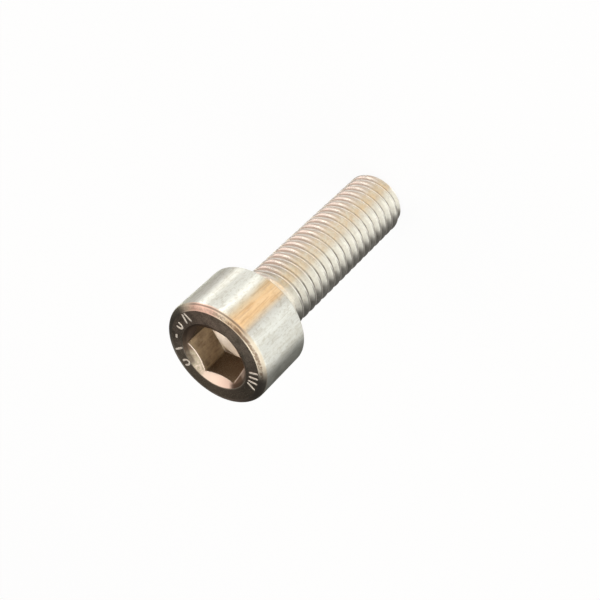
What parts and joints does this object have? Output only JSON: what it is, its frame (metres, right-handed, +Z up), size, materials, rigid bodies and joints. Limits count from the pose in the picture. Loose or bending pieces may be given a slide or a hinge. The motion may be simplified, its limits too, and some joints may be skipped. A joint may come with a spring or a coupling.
{
  "type": "hex socket cap screw",
  "caption": "Cylindrical-head screw with a hexagonal recess, threaded along its whole shank, for clamping parts into a tapped hole.",
  "frame": {"origin": "centre of the bearing face under the head", "axes": "the screw stands on the flat end of its thread with its axis along Z: the head is above the origin, the thread below it; +Z is up"},
  "size_m": [0.01, 0.01, 0.026],
  "materials": {
    "steel": "bare stainless steel, satin turned head and rolled thread"
  },
  "bodies": {
    "root": {"cap_screw": "steel"}
  },
  "joints": []
}
